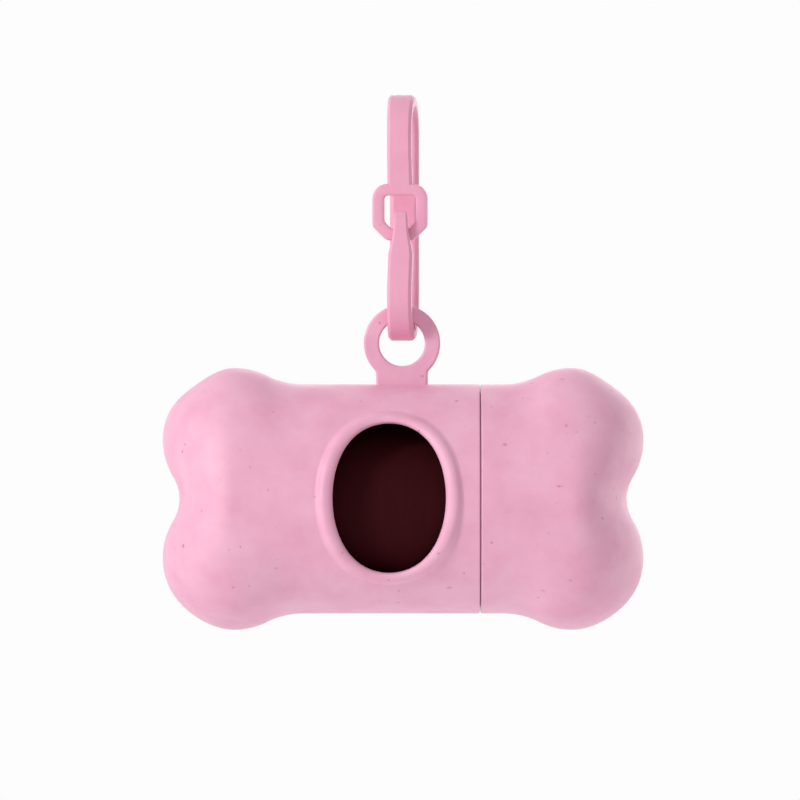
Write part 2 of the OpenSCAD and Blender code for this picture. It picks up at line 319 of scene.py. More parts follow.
def roll_rim(piece, x, towards, radius=SEAM_ROUND):
    """Round the open rim at x over towards -1 or +1, then close it with a face."""
    edit(piece)
    print(pick("VERT", lambda p, n: abs(p.x - x) < 0.01), "vertices on the rim")
    at, r = 0.0, BONE_R
    for i in range(1, 5):
        a = math.pi / 8 * i
        step, next_r = radius * math.sin(a), BONE_R - radius * (1 - math.cos(a))
        pull(x=towards * (step - at))
        size(y=next_r / r, z=next_r / r)
        at, r = step, next_r
    return close_loop(piece)


def keep_beyond(piece, x):
    """Cut the mesh square at x and throw away what lies below it."""
    edit(piece)
    bpy.ops.mesh.bisect(plane_co=(x * MM, 0, 0), plane_no=(1, 0, 0), clear_inner=True)
    return done(piece)


def mirror_x(piece):
    edit(piece)
    size(x=-1)
    face_out()
    return done(piece)


SIDES, STEPS = 128, 11
body = loft_end("body", SEAM_ROUND - SEAM_X, 0, SIDES, STEPS)
cap = keep_beyond(copy_of(body, "cap"), SEAM_X + SEAM_GAP + SEAM_ROUND)
roll_rim(cap, SEAM_X + SEAM_GAP + SEAM_ROUND, -1)
mirror_x(body)
roll_rim(body, SEAM_X - SEAM_ROUND, 1)

# %% [markdown]
# ## The chamber
# Inside, both mouldings are bored round for the roll, and the bore ends short of the shaped ends by their
# wall. The same loft, drawn smaller by the wall, is cut down to the round bore and then taken away from
# each half. A boolean is how a toolmaker thinks of a core, and it leaves the outside's quads alone.

# %% Bore both halves
SPIGOT_END = SEAM_X + SPIGOT_LEN


def bar(name, radius, start, stop, sides=SIDES):
    """A round bar along X."""
    return primitive("cylinder", name, vertices=sides, radius=radius * MM, depth=(stop - start) * MM,
                     location=((start + stop) / 2 * MM, 0, 0), rotation=(0, math.pi / 2, 0))


def block(name, low, high):
    """A block between two corners in millimetres."""
    low, high = Vector(low) * MM, Vector(high) * MM
    return primitive("cube", name, size=1, location=(low + high) / 2, scale=high - low)


def close_open_end(piece, x):
    edit(piece)
    pick("VERT", lambda p, n: abs(p.x - x) < 0.01)
    return close_loop(piece)


chamber = close_open_end(loft_end("chamber", -SPIGOT_END - 1, END_WALL, 96, 6), -SPIGOT_END - 1)
combine(chamber, bar("bore", BORE_R, -SPIGOT_END - 3, 45), "INTERSECT")
body_chamber = mirror_x(copy_of(chamber, "body_chamber"))

# %% [markdown]
# ## Spigot, mouth and key
# The cap pushes over a round plug on the body. A rib inside the cap runs in a slot in the plug, so that
# the four lobes line up. None of it shows while the dispenser is closed, but it does when the cap is
# pulled off.

# %% The joint between body and cap
KEY_W, KEY_GAP, SPIGOT_ROUND = 2.4, 0.2, 0.35


def bevel_ring(piece, x, width, segments=3):
    """Round the edges that lie in the plane at x."""
    edit(piece)
    pick("EDGE", lambda p, e: abs(p.x - x) < CLOSE and abs(e.verts[0].co.x - e.verts[1].co.x) < 1e-7)
    bpy.ops.mesh.bevel(offset=width * MM, segments=segments, affect="EDGES")
    return done(piece)


spigot = bevel_ring(bar("spigot", SPIGOT_R, SEAM_X - 2, SPIGOT_END), SPIGOT_END, SPIGOT_ROUND)
combine(body, spigot, "UNION")
combine(body, body_chamber, "DIFFERENCE")
combine(body, block("slot", (SEAM_X + 0.5, -KEY_W / 2 - KEY_GAP, BORE_R - 1),
                    (SEAM_X + 0.5 + SPIGOT_LEN, KEY_W / 2 + KEY_GAP, BORE_R + 3)), "DIFFERENCE")
combine(cap, chamber, "DIFFERENCE")
combine(cap, bar("mouth", MOUTH_R, SEAM_X - 1, SPIGOT_END + SEAM_GAP), "DIFFERENCE")
combine(cap, block("key", (SEAM_X + SEAM_GAP + 1.2, -KEY_W / 2, BORE_R + 0.2),
                   (SEAM_X + SEAM_GAP + SPIGOT_LEN - 0.3, KEY_W / 2, MOUTH_R + 0.4)), "UNION")
print("body", len(body.data.polygons), "faces, cap", len(cap.data.polygons), "faces")

# %% [markdown]
# ## The dispensing hole and its bead
# An oval bead stands round the hole, so that the film doesn't tear on an edge. It is drawn flat, as rings
# that grow outwards from the hole and rise and fall with the bead's section, and is then bent round the
# bar with a Simple Deform. Its inner wall stays parallel to the view, because the mould's slide is pulled
# out that way.

# %% The bead
OVAL_X, OVAL_RISE, OVAL_W, OVAL_H = -2.392, 0.35, 9.7, 12.8     # middle, half width and half height
OVAL_SIDES = 176
# The bead's section round the hole, as (outwards from the hole's edge, above the round wall).
BEAD = [(0, -2.75), (0, -1.2), (0, -0.35), (0.06, -0.05), (0.2, 0.25), (0.42, 0.5), (0.72, 0.7),
        (1.1, 0.84), (1.5, 0.9), (1.85, 0.85), (2.12, 0.71), (2.34, 0.5), (2.54, 0.28), (2.75, 0.12),
        (3.0, 0.02), (3.2, -0.04), (3.2, -0.6), (2.4, -1.2), (1.9, -2.0), (1.7, -2.75)]


def flat_half_height(outward, rise):
    """Half height of a ring before bending, so that the hole is upright once bent."""
    return BONE_R * math.asin(OVAL_H / (BONE_R + rise)) + outward


bead = primitive("circle", "bead", vertices=OVAL_SIDES, radius=MM, fill_type="NOTHING",
                 rotation=(math.pi / 2, 0, 0))
edit(bead)
w, h = BEAD[0]
a, b = OVAL_W + w, flat_half_height(w, h)
size(x=a, z=b)
shift(y=-h)
for next_w, next_h in BEAD[1:]:
    next_a, next_b = OVAL_W + next_w, flat_half_height(next_w, next_h)
    pull(y=h - next_h)
    size(x=next_a / a, z=next_b / b)
    a, b, h = next_a, next_b, next_h
pick("EDGE", lambda p, e: len(e.link_faces) == 1)
bpy.ops.mesh.bridge_edge_loops()
weld()
done(bead)
tall = 2 * max(v.co.z for v in bead.data.vertices)
modify(bead, "SIMPLE_DEFORM", deform_method="BEND", deform_axis="X", angle=tall / (BONE_R * MM))
edit(bead)
shift(x=OVAL_X, y=-BONE_R)
turn(-math.asin(OVAL_RISE / BONE_R), "X")
done(bead)

# %% Open the wall and set the bead in
WALL_CUT_X, WALL_CUT_Z = 1.3, 0.95      # the wall ends inside the bead, this far outside the hole
opening = primitive("cylinder", "opening", vertices=OVAL_SIDES, radius=MM, depth=20 * MM,
                    location=(0, 0, 0), rotation=(math.pi / 2, 0, 0))
edit(opening)
size(x=OVAL_W + WALL_CUT_X, z=OVAL_H + WALL_CUT_Z)
shift(x=OVAL_X, y=-18, z=OVAL_RISE)
done(opening)
combine(body, opening, "DIFFERENCE")
combine(body, bead, "UNION")
print("body with its bead has", len(body.data.polygons), "faces")

# %% [markdown]
# ## The lug
# The clip hangs in a flat ring on a short stem. A circle the size of the eye is extruded and resized to
# the ring's outside, and the ring's lowest edges are extruded and flattened to the foot of the stem. An
# extrude gives the thickness. One Bevel then rounds every edge at once, with a small fillet where ring
# and stem meet.

# %% The lug
EYE_R, EYE_RIM, LUG_T, STEM_W = 3.95, 2.65, 4.0, 8.9
LUG_RISE, LUG_SUNK = 7.1, 1.6       # the eye's middle above the bone, and how deep the stem goes into it
LUG_R = EYE_R + EYE_RIM
lug = primitive("circle", "lug", vertices=68, radius=EYE_R * MM, fill_type="NOTHING",
                rotation=(math.pi / 2, 0, 0))
edit(lug)
pull()
size(x=LUG_R / EYE_R, z=LUG_R / EYE_R)
stem_edges = pick("EDGE", lambda p, e: p.length > LUG_R - 0.1 and p.z < 0 and abs(p.x) < STEM_W / 2)
print(stem_edges, "edges of the ring grow into the stem")
pull()
size(z=0, about=(0, 0, -LUG_RISE - LUG_SUNK))
bpy.ops.mesh.select_all(action="SELECT")
shift(y=-LUG_T / 2)
pull(y=LUG_T)
weld()
done(lug)
soften(lug, width=0.42, segments=4, angle=25)
edit(lug)
bpy.ops.transform.translate(value=(-BONE_MID.x, 0, (BONE_R + LUG_RISE) * MM))
done(lug)
combine(body, lug, "UNION")
print("body with its lug has", len(body.data.polygons), "faces")

# %% Put body and cap in their place
def settle(piece, offset):
    """Move the mesh itself, so that the object stays at the origin."""
    edit(piece)
    bpy.ops.transform.translate(value=offset)
    weld(0.002)
    done(piece)
    shade(piece)


def shade(piece, angle=32):
    """Smooth shading up to this angle, led by the large faces, so that flat faces stay flat."""
    activate(piece)
    bpy.ops.object.shade_smooth_by_angle(angle=math.radians(angle))
    modify(piece, "WEIGHTED_NORMAL", keep_sharp=True, weight=60)


for half in (body, cap):
    settle(half, BONE_MID)

# %% [markdown]
# ## The clip
# The clip is one flat strap, bent round at the top and at the bottom. Its section is drawn once, as a
# rectangle with its corners taken off, and is then swept: pulled along the straight parts and spun round
# the bends. At its end the front arm is thinner and narrower, so that it can lie in front of the ring of
# the sprung arm.

# %% Section and sweep
STRAP_W, STRAP_T, BEND_R, LOWER_BEND_Z = 4.625, 2.4, 7.0, -28.4
MID_Y = BEND_R - STRAP_T / 2
INNER_ROUND, OUTER_CUT, CUT_ROUND = 0.62, 0.52, 0.1     # what is taken off the section's corners


def strap_section(name, y, z, width, depth):
    """The strap's section as a flat loop: round corners towards +Y and cut corners towards -Y."""
    piece = primitive("plane", name, size=1, location=(0, 0, 0))
    edit(piece)
    size(x=STRAP_W * MM, y=STRAP_T * MM)
    pick("VERT", lambda p, n: p.y > 0)
    bpy.ops.mesh.bevel(offset=INNER_ROUND * MM, segments=3, affect="VERTICES", profile=0.35)
    pick("VERT", lambda p, n: p.y < 0.01 - STRAP_T / 2)
    bpy.ops.mesh.bevel(offset=OUTER_CUT * MM, segments=1, affect="VERTICES")
    pick("VERT", lambda p, n: p.y < -0.6)
    bpy.ops.mesh.bevel(offset=CUT_ROUND * MM, segments=3, affect="VERTICES")
    bpy.ops.mesh.select_all(action="SELECT")
    bpy.ops.mesh.delete(type="ONLY_FACE")
    bpy.ops.mesh.select_all(action="SELECT")
    size(x=width / STRAP_W, y=depth / STRAP_T)
    shift(y=y, z=z)
    return piece


def sweep(stations):
    """Pull the selected loop through stations of (y, z, width, depth) of its middle."""
    y, z, width, depth = stations[0]
    for next_y, next_z, next_width, next_depth in stations[1:]:
        pull(y=next_y - y, z=next_z - z)
        size(x=next_width / width, y=next_depth / depth, about=(0, next_y, next_z))
        y, z, width, depth = next_y, next_z, next_width, next_depth


def bend_strap(z):
    """Spin the selected loop half a turn about X, outwards round the bend whose middle is at z."""
    bpy.ops.mesh.spin(steps=28, angle=-math.pi, center=(0, 0, z * MM), axis=(1, 0, 0))


def close_holes(piece):
    """Close the open ends of a swept strap."""
    pick("EDGE", lambda p, e: len(e.link_faces) == 1)
    bpy.ops.mesh.edge_face_add()
    weld()
    return done(piece)


print("strap", STRAP_W, "by", STRAP_T, "mm, its middle runs", MID_Y, "mm from the bend's")

# %% [markdown]
# The clip is swept from the tip of its nose: down the thickening nose and the front arm, round the lower
# bend, up the spine and round the upper bend to the root of the sprung arm. Each station is a place and a
# size of the section, so that the nose is drawn with the same few numbers as the straight parts.

# %% Sweep the clip
NOSE_TIP_Z, ROOT_Z = -13.2, -1.05
LEAN, LEAN_STARTS = 0.08, (-26, -24, -22, -20)      # towards its nose the arm leans 0.3 mm to the right
nose = [(-5.95, NOSE_TIP_Z, 1.9, 0.5), (-5.97, -13.27, 2.15, 0.7), (-5.99, -13.42, 2.3, 0.86),
        (-6.17, -14.25, 2.55, 1.4), (-6.22, -14.5, 2.62, 1.54), (-6.22, -15.0, 2.68, 1.55),
        (-6.22, -16.3, 2.8, 1.55), (-6.22, -17.4, 3.12, 1.56), (-6.2, -18.2, 3.5, 1.6),
        (-6.05, -19.1, 4.0, 1.9), (-5.85, -20.0, 4.4, 2.3), (-MID_Y, -20.6, STRAP_W, STRAP_T)]
lower_arm = [(-MID_Y, z, STRAP_W, STRAP_T) for z in (-20.6, -22.5, -24.5, -26.5, LOWER_BEND_Z)]
spine = [(MID_Y, z, STRAP_W, STRAP_T) for z in (LOWER_BEND_Z, -25, -21, -17, -13, -9, -5, -2, 0)]
clip = strap_section("clip_body", *nose[0])
sweep(nose)
sweep(lower_arm)
bend_strap(LOWER_BEND_Z)
sweep(spine)
bend_strap(0)
sweep([(-MID_Y, 0, STRAP_W, STRAP_T), (-MID_Y, ROOT_Z, STRAP_W, STRAP_T)])
close_holes(clip)
edit(clip)
for start in LEAN_STARTS:
    pick("VERT", lambda p, n: p.y < -4 and start < p.z < NOSE_TIP_Z + 0.1)
    shift(x=LEAN)
done(clip)

# %% [markdown]
# ## The sprung arm and its ring
# Above the opening the strap carries on as a springy arm that ends in a flat ring. It is swept from the
# same section. The ring starts as a plane: its lower corners are cut, its upper ones rounded, an inset
# gives the bars, the middle is deleted and the frame is extruded to its thickness.

# %% The arm and the ring
RING_W, RING_H, RING_T, RING_BAR, RING_CUT, RING_ROUND = 9.5, 9.75, 2.2, 2.0, 2.4, 2.6
RING_TOP_Z, RING_FRONT_Y = -8.4, -5.25
RING_MID_Y = RING_FRONT_Y + RING_T / 2
gate = strap_section("clip_gate_arm", -MID_Y, ROOT_Z, STRAP_W, STRAP_T)
sweep([(-MID_Y, ROOT_Z, STRAP_W, STRAP_T), (-MID_Y, -1.6, STRAP_W, STRAP_T),
       (-5.785, -2.15, STRAP_W, STRAP_T), (-5.73, -2.7, STRAP_W, 2.39), (-5.645, -3.2, STRAP_W, 2.38),
       (-5.53, -3.7, STRAP_W, 2.37), (-5.4, -4.2, STRAP_W, 2.35), (-5.255, -4.7, STRAP_W, 2.33),
       (-5.1, -5.2, STRAP_W, 2.3), (-4.82, -6.2, STRAP_W, 2.25), (-4.55, -7.2, STRAP_W, 2.2),
       (-4.35, -8.0, STRAP_W, 2.15), (-4.2, -8.8, STRAP_W, 2.05), (RING_MID_Y, -9.6, 4.3, 1.7)])
close_holes(gate)

ring = primitive("plane", "ring", size=1, rotation=(math.pi / 2, 0, 0))
edit(ring)
size(x=RING_W * MM, z=RING_H * MM)
pick("VERT", lambda p, n: p.z < 0)
bpy.ops.mesh.bevel(offset=RING_CUT * MM, affect="VERTICES", segments=1)
pick("VERT", lambda p, n: p.z > RING_H / 2 - 0.01)
bpy.ops.mesh.bevel(offset=RING_ROUND * MM, affect="VERTICES", segments=6)
pick("FACE", lambda p, n: True)
bpy.ops.mesh.inset(thickness=RING_BAR * MM)
bpy.ops.mesh.delete(type="FACE")
bpy.ops.mesh.select_all(action="SELECT")
pull(y=RING_T)
face_out()
shift(y=RING_FRONT_Y, z=RING_TOP_Z - RING_H / 2)
done(ring)
soften(ring, width=0.45, segments=2, angle=40)
print("ring", RING_W, "by", RING_H, "mm")

# %% [markdown]
# ## Draft and hang
# The mould leaves the strap wider at the back than at the front. A Taper across the depth does that to
# both parts of the clip alike. The clip then takes the small turn that it has as it hangs.

# %% Taper, turn and shade
TAPER, TWIST = 0.2054, math.radians(4.45)       # widening over the clip's whole depth, and its turn


def draft(piece):
    """Scale X from the front to the back. The modifier's factor is spread over the piece's own depth."""
    depth = max(v.co.y for v in piece.data.vertices) - min(v.co.y for v in piece.data.vertices)
    modify(piece, "SIMPLE_DEFORM", deform_method="TAPER", deform_axis="Y", lock_z=True,
           factor=TAPER * depth / (2 * BEND_R * MM))


def hang(piece):
    edit(piece)
    turn(-TWIST, "Z")
    done(piece)
    shade(piece, 28)


draft(clip)
draft(gate)
combine(gate, ring, "UNION")
for part in (clip, gate):
    hang(part)

# %% [markdown]
# ## The roll of bags
# The film is wound round a paper tube. Wound film is never quite even at its ends, so the end faces are
# drawn inwards ring by ring with small steps in and out, and the outside gets the shallow waves of
# flattened bags.

# %% Roll and core
rng = random.Random(7)
WAVES, WAVE = 29, 0.1                               # waves along the outside, and their depth
LAYERS, LAYER, LAYER_STEP = 14, 0.52, 0.28          # rings on an end, their width, and how far they stand back
START_R = ROLL_R - 0.15


def wound_roll(name):
    """A tube of wound film round X, from the outside over both ends to the core."""
    end = ROLL_LEN / 2
    piece = primitive("circle", name, vertices=120, radius=ROLL_R * MM, fill_type="NOTHING",
                      location=(-end * MM, 0, 0), rotation=(0, math.pi / 2, 0))
    edit(piece)
    path = [(-end + 0.25, ROLL_R - 0.02)]
    for i in range(1, WAVES):
        path.append((-end + ROLL_LEN * i / WAVES, ROLL_R - 0.04 - WAVE * rng.random()))
    path += [(end - 0.25, ROLL_R - 0.02), (end - 0.08, ROLL_R - 0.2)]
    radii = [ROLL_R - 0.6 - LAYER * i for i in range(LAYERS)]
    path += [(end - LAYER_STEP * rng.random() ** 2 * (i % 2), r) for i, r in enumerate(radii)]
    path += [(end - 0.1, CORE_R + 0.02), (-end + 0.1, CORE_R + 0.02)]
    path += [(-end + LAYER_STEP * rng.random() ** 2 * (i % 2), r) for i, r in enumerate(radii[::-1])]
    path += [(-end + 0.08, ROLL_R - 0.2)]
    size(y=START_R / ROLL_R, z=START_R / ROLL_R)
    x, r = -end, START_R
    for next_x, next_r in path:
        pull(x=next_x - x)
        size(y=next_r / r, z=next_r / r)
        x, r = next_x, next_r
    pick("EDGE", lambda p, e: len(e.link_faces) == 1)
    bpy.ops.mesh.bridge_edge_loops()
    weld()
    return done(piece)


roll = wound_roll("bag_roll_wound")
core = bar("core_tube", CORE_R, -ROLL_LEN / 2, ROLL_LEN / 2, 96)
combine(core, bar("core_bore", CORE_BORE_R, -ROLL_LEN / 2 - 1, ROLL_LEN / 2 + 1, 96), "DIFFERENCE")
soften(core, width=0.12, segments=2, angle=40)
for part in (roll, core):
    settle(part, ROLL_MID)

# %% [markdown]
# ## Which body each piece rides on
# Every piece replaces the plain solid of the frame that it was drawn from, and a piece with one body
# moves with that body. The sprung arm is one moulding with the clip on the real thing, so it belongs to
# both bodies; its mesh is only fixed in place.

# %% Ride and replace
for piece, name, solid, bodies, slot in [
        (body, "shell_body", "body_shell", ("dispenser",), "shell"),
        (cap, "shell_cap", "end_cap", ("cap",), "shell"),
        (clip, "clip_strap", "clip_frame", ("clip",), "clip"),
        (gate, "clip_arm_and_ring", "clip_gate", ("clip", "gate"), "clip"),
        (roll, "bag_roll_wound", "bag_roll", ("roll",), "bag_film"),
        (core, "core_tube", "roll_core", ("roll",), "core_board")]:
    piece.name = piece.data.name = name
    if len(bodies) == 1:
        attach(piece, bodies[0])
    else:
        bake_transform(piece)
    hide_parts(solid)
    print(name, "replaces", solid, "and rides on", bodies)

# %% [markdown]
# ## Plastic filled with wheat straw
# The shells are injection-moulded polypropylene with ground wheat straw in it, coloured pink. It looks
# matt and slightly cloudy, with scattered specks of straw that are only a little darker. They are 0.5 to
# 0.8 mm across, and some are fibres of up to 1.7 mm. The eroded mould leaves a fine satin grain. The
# specks could be painted by hand, but a pattern of cells can place them at random over any shape: Voronoi
# cells give one speck each, and a chance per cell keeps only a few.

# %% Colours and nodes
def linear(code):
    """sRGB hex to linear RGBA."""
    channels = [int(code[i:i + 2], 16) / 255 for i in (1, 3, 5)]
    return tuple(c / 12.92 if c <= 0.04045 else ((c + 0.055) / 1.055) ** 2.4 for c in channels) + (1.0,)


def add(tree, kind, inputs=(), **settings):
    """Add a node. inputs pairs a socket's name or number with a value or with another node's output."""
    node = tree.nodes.new(kind)
    for key, value in settings.items():
        setattr(node, key, value)
    for key, value in inputs:
        if isinstance(value, bpy.types.NodeSocket):
            tree.links.new(value, node.inputs[key])
        else:
            node.inputs[key].default_value = value
    return node


def per_mm(length):
    """Texture scale that makes a pattern this many millimetres across, as object coordinates are metres."""
    return 1 / (length * MM)


def blank(name):
    """A new material with its node tree, its shader and the piece's own coordinates."""
    material = bpy.data.materials.new(name)
    material.use_nodes = True
    tree = material.node_tree
    place = add(tree, "ShaderNodeTexCoord").outputs["Object"]
    return material, tree, tree.nodes["Principled BSDF"], place


def wear(piece, material):
    """Make this the piece's only material."""
    piece.data.materials.clear()
    piece.data.materials.append(material)
    for polygon in piece.data.polygons:
        polygon.material_index = 0


MIX_A, MIX_B, MIX_OUT = 6, 7, 2     # the Mix node's colour sockets
print("mid grey #808080 is", round(linear("#808080")[0], 3), "in linear light")

# %% Straw plastic
PLASTIC_IOR, WOBBLE, SPECK_CORE = 1.49, 0.9 * MM, 0.35      # a speck is full over 0.35 of its radius
# Kinds of speck: cell size and speck radius in mm, the cells' stretch and turn, and the share of them used.
SPECKS = [(1.6, 0.27, (1, 1, 1), 0.0, 0.12), (2.6, 0.4, (1, 1, 1), 1.1, 0.14),
          (2.6, 0.3, (0.35, 1, 1), 0.6, 0.2), (2.8, 0.3, (1, 1, 0.35), 0.3, 0.2)]


def straw_plastic(name, base, cloudy, speck, speck_amount, roughness, grain):
    """Moulded polypropylene with wheat straw."""
    material, tree, shader, place = blank(name)
    clouds = add(tree, "ShaderNodeTexNoise", [("Vector", place), ("Scale", per_mm(7)), ("Detail", 4.0),
                                              ("Roughness", 0.6)])
    cloud_mask = add(tree, "ShaderNodeMapRange", [("Value", clouds.outputs["Fac"]), ("From Min", 0.35),
                                                  ("From Max", 0.68)])
    ground = add(tree, "ShaderNodeMix", [("Factor", cloud_mask.outputs["Result"]), (MIX_A, linear(base)),
                                         (MIX_B, linear(cloudy))], data_type="RGBA")
    wobble = add(tree, "ShaderNodeTexNoise", [("Vector", place), ("Scale", per_mm(0.8)), ("Detail", 2.0)])
    shifted = add(tree, "ShaderNodeVectorMath", [(0, wobble.outputs["Color"]), (1, (WOBBLE,) * 3)],
                  operation="MULTIPLY")
    bent = add(tree, "ShaderNodeVectorMath", [(0, place), (1, shifted.outputs["Vector"])], operation="ADD")
    cover = None
    for cell, radius, stretch, spin, share in SPECKS:
        turned = add(tree, "ShaderNodeMapping", [("Vector", bent.outputs["Vector"]),
                                                 ("Rotation", (spin, spin, spin)), ("Scale", stretch)])
        cells = add(tree, "ShaderNodeTexVoronoi", [("Vector", turned.outputs["Vector"]),
                                                   ("Scale", per_mm(cell))])
        chance = add(tree, "ShaderNodeSeparateColor", [("Color", cells.outputs["Color"])])
        chosen = add(tree, "ShaderNodeMath", [(0, chance.outputs["Red"]), (1, 1 - share * speck_amount)],
                     operation="GREATER_THAN")
        shape = add(tree, "ShaderNodeMapRange", [("Value", cells.outputs["Distance"]),
                                                 ("From Min", radius / cell),
                                                 ("From Max", SPECK_CORE * radius / cell)])
        strength = add(tree, "ShaderNodeMath", [(0, chosen.outputs["Value"]), (1, chance.outputs["Green"])],
                       operation="MULTIPLY")
        here = add(tree, "ShaderNodeMath", [(0, shape.outputs["Result"]), (1, strength.outputs["Value"])],
                   operation="MULTIPLY").outputs["Value"]
        cover = here if cover is None else add(tree, "ShaderNodeMath", [(0, cover), (1, here)],
                                               operation="MAXIMUM").outputs["Value"]
    coloured = add(tree, "ShaderNodeMix", [("Factor", cover), (MIX_A, ground.outputs[MIX_OUT]),
                                           (MIX_B, linear(speck))], data_type="RGBA")
    tree.links.new(coloured.outputs[MIX_OUT], shader.inputs["Base Color"])
    satin = add(tree, "ShaderNodeMapRange", [("Value", clouds.outputs["Fac"]), ("To Min", roughness - 0.05),
                                             ("To Max", roughness + 0.06)])
    tree.links.new(satin.outputs["Result"], shader.inputs["Roughness"])
    # The mould's grain is finer than 0.1 mm. It is drawn as 0.3 mm, so that it shows.
    fine = add(tree, "ShaderNodeTexNoise", [("Vector", place), ("Scale", per_mm(0.3)), ("Detail", 2.0)])
    first = add(tree, "ShaderNodeBump", [("Height", clouds.outputs["Fac"]), ("Distance", 0.06 * MM),
                                         ("Strength", 0.5)])
    second = add(tree, "ShaderNodeBump", [("Height", fine.outputs["Fac"]), ("Distance", 0.012 * MM),
                                          ("Strength", grain), ("Normal", first.outputs["Normal"])])
    tree.links.new(second.outputs["Normal"], shader.inputs["Normal"])
    shader.inputs["IOR"].default_value = PLASTIC_IOR
    return material


print(len(SPECKS), "kinds of speck, the largest", 2 * max(kind[1] for kind in SPECKS), "mm across")

# %% Dress the mouldings
shell_plastic = straw_plastic("wheat_straw_polypropylene_shell", base="#EDB1C9", cloudy="#E7A2BE",
                              speck="#C27D94", speck_amount=1.3, roughness=0.5, grain=0.5)
clip_plastic = straw_plastic("wheat_straw_polypropylene_clip", base="#EAA5BF", cloudy="#E69DB8",
                             speck="#C27590", speck_amount=0.45, roughness=0.45, grain=0.35)
for pieces, material in (((body, cap), shell_plastic), ((clip, gate), clip_plastic)):
    for piece in pieces:
        wear(piece, material)
print("plastic on", [o.name for o in (body, cap, clip, gate)])

# %% [markdown]
# ## Bag film
# The bags are thin blown polyethylene, dark maroon and waxy, wound under little tension. The winding
# shows as rings on the roll's ends, which are in the mesh, and as fine hoops round it. A noise that is
# squeezed along the roll and drawn out across it gives the hoops, and a coarser one crumples the film.

# %% Wound film
FILM_IOR, FILM_SHINE = 1.51, 0.04       # next to no shine shows in the hole
TO_ROLL = (0, 0, -ROLL_MID.z)           # brings the middle of the roll to the middle of the pattern


def wound_film(name, base, edge):
    """Layers of thin film, base on their faces and edge between them."""
    material, tree, shader, place = blank(name)
    centred = add(tree, "ShaderNodeMapping", [("Vector", place), ("Location", TO_ROLL)])
    drawn_out = add(tree, "ShaderNodeMapping", [("Vector", centred.outputs["Vector"]),
                                                ("Scale", (1, 0.12, 0.12))])
    hoops = add(tree, "ShaderNodeTexNoise", [("Vector", drawn_out.outputs["Vector"]),
                                             ("Scale", per_mm(1.4)), ("Detail", 3.0)])
    crinkle = add(tree, "ShaderNodeTexNoise", [("Vector", centred.outputs["Vector"]), ("Scale", per_mm(6)),
                                               ("Detail", 5.0), ("Distortion", 1.2)])
    tone = add(tree, "ShaderNodeMix", [("Factor", hoops.outputs["Fac"]), (MIX_A, linear(base)),
                                       (MIX_B, linear(edge))], data_type="RGBA")
    tree.links.new(tone.outputs[MIX_OUT], shader.inputs["Base Color"])
    waxy = add(tree, "ShaderNodeMapRange", [("Value", crinkle.outputs["Fac"]), ("To Min", 0.62),
                                            ("To Max", 0.8)])
    tree.links.new(waxy.outputs["Result"], shader.inputs["Roughness"])
    first = add(tree, "ShaderNodeBump", [("Height", crinkle.outputs["Fac"]), ("Distance", 0.25 * MM),
                                         ("Strength", 0.4)])
    second = add(tree, "ShaderNodeBump", [("Height", hoops.outputs["Fac"]), ("Distance", 0.1 * MM),
                                          ("Strength", 0.5), ("Normal", first.outputs["Normal"])])
    tree.links.new(second.outputs["Normal"], shader.inputs["Normal"])
    shader.inputs["IOR"].default_value = FILM_IOR
    shader.inputs["Specular IOR Level"].default_value = FILM_SHINE
    return material


wear(roll, wound_film("wound_polyethylene_film", base="#380D12", edge="#300B10"))
print("film on", roll.name)

# %% [markdown]
# ## Core board
# The core is grey-brown paper board with short fibres and a matt, dry surface, wound in a spiral from a
# strip about 20 mm wide. The angle round the tube plus the way along it, counted in strips, goes up by
# one from each seam to the next, so its fraction finds the seam.

# %% Paper board
STRIP_W, SEAM_SHARE = 20, 0.03


def core_board(name, base, fibre, seam):
    """Paper board with fibres, and a darker seam where the strips meet."""
    material, tree, shader, place = blank(name)
    centred = add(tree, "ShaderNodeMapping", [("Vector", place), ("Location", TO_ROLL)])
    parts = add(tree, "ShaderNodeSeparateXYZ", [("Vector", centred.outputs["Vector"])])
    around = add(tree, "ShaderNodeMath", [(0, parts.outputs["Z"]), (1, parts.outputs["Y"])],
                 operation="ARCTAN2")
    turned = add(tree, "ShaderNodeMath", [(0, around.outputs["Value"]), (1, 2 * math.pi)],
                 operation="DIVIDE")
    along = add(tree, "ShaderNodeMath", [(0, parts.outputs["X"]), (1, STRIP_W * MM)], operation="DIVIDE")
    spiral = add(tree, "ShaderNodeMath", [(0, along.outputs["Value"]), (1, turned.outputs["Value"])],
                 operation="ADD")
    way = add(tree, "ShaderNodeMath", [(0, spiral.outputs["Value"])], operation="FRACT")
    joint = add(tree, "ShaderNodeMath", [(0, way.outputs["Value"]), (1, SEAM_SHARE)], operation="LESS_THAN")
    fibres = add(tree, "ShaderNodeTexNoise", [("Vector", place), ("Scale", per_mm(0.7)), ("Detail", 4.0),
                                              ("Distortion", 0.8)])
    board = add(tree, "ShaderNodeMix", [("Factor", fibres.outputs["Fac"]), (MIX_A, linear(base)),
                                        (MIX_B, linear(fibre))], data_type="RGBA")
    seamed = add(tree, "ShaderNodeMix", [("Factor", joint.outputs["Value"]),
                                         (MIX_A, board.outputs[MIX_OUT]), (MIX_B, linear(seam))],
                 data_type="RGBA")
    tree.links.new(seamed.outputs[MIX_OUT], shader.inputs["Base Color"])
    rough = add(tree, "ShaderNodeMapRange", [("Value", fibres.outputs["Fac"]), ("To Min", 0.82),
                                             ("To Max", 0.95)])
    tree.links.new(rough.outputs["Result"], shader.inputs["Roughness"])
    bump = add(tree, "ShaderNodeBump", [("Height", fibres.outputs["Fac"]), ("Distance", 0.05 * MM),
                                        ("Strength", 0.6)])
    tree.links.new(bump.outputs["Normal"], shader.inputs["Normal"])
    return material


wear(core, core_board("spiral_wound_paper_board", base="#B09878", fibre="#9A8262", seam="#7E694D"))
print("board on", core.name)

